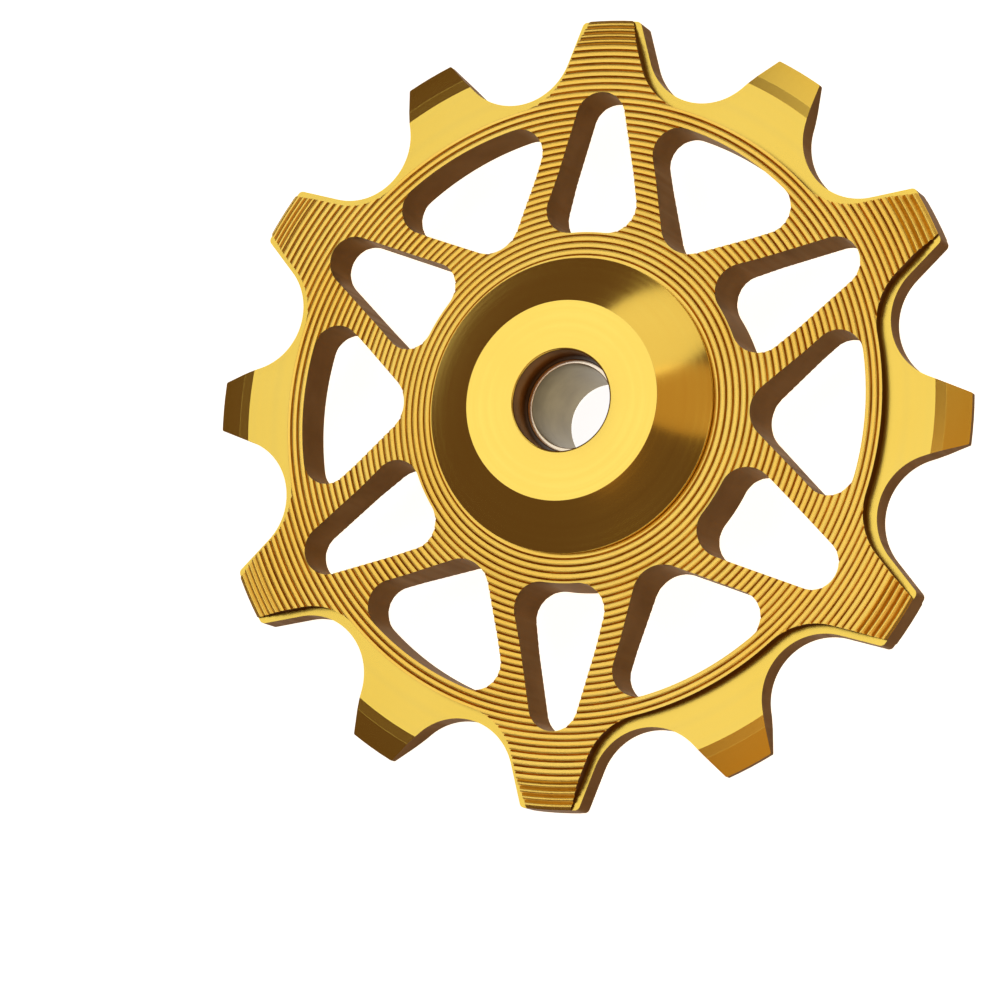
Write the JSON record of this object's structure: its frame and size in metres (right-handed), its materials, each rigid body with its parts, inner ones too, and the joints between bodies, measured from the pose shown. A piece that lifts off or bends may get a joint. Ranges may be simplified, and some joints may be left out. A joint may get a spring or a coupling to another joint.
{
  "type": "derailleur jockey wheel",
  "caption": "Skeleton jockey wheel with alternating narrow and wide teeth on a sealed ball bearing between two dished caps, guiding the chain on a rear derailleur cage.",
  "frame": {"origin": "on the spin axis, half way between the flat faces of the two caps", "axes": "+Z along the spin axis out of the front cap, +Y along one of the wide teeth"},
  "size_m": [0.0504, 0.0504, 0.009],
  "materials": {
    "gold_anodised": "turned and gold anodised",
    "bearing_steel": "ground",
    "sleeve_steel": "turned",
    "seal_rubber": "matt moulded",
    "cage_nylon": "moulded"
  },
  "bodies": {
    "hub": {"front_cap": "gold_anodised", "rear_cap": "gold_anodised", "axle_sleeve": "sleeve_steel", "bearing_inner_ring": "bearing_steel"},
    "wheel": {"toothed_wheel": "gold_anodised", "bearing_outer_ring": "bearing_steel", "bearing_seal_front": "seal_rubber", "bearing_seal_rear": "seal_rubber"},
    "cage": {"bearing_cage": "cage_nylon"}
  },
  "joints": [
    {"name": "wheel_spin", "type": "hinge", "parent": "hub", "child": "wheel", "pos_m": [0, 0, 0], "axis": [0, 0, 1], "continuous": true},
    {"name": "cage_spin", "type": "hinge", "parent": "hub", "child": "cage", "pos_m": [0, 0, 0], "axis": [0, 0, 1], "continuous": true}
  ],
  "couplings": [
    {"joint": "cage_spin", "follows": "wheel_spin", "ratio": 0.6133}
  ]
}
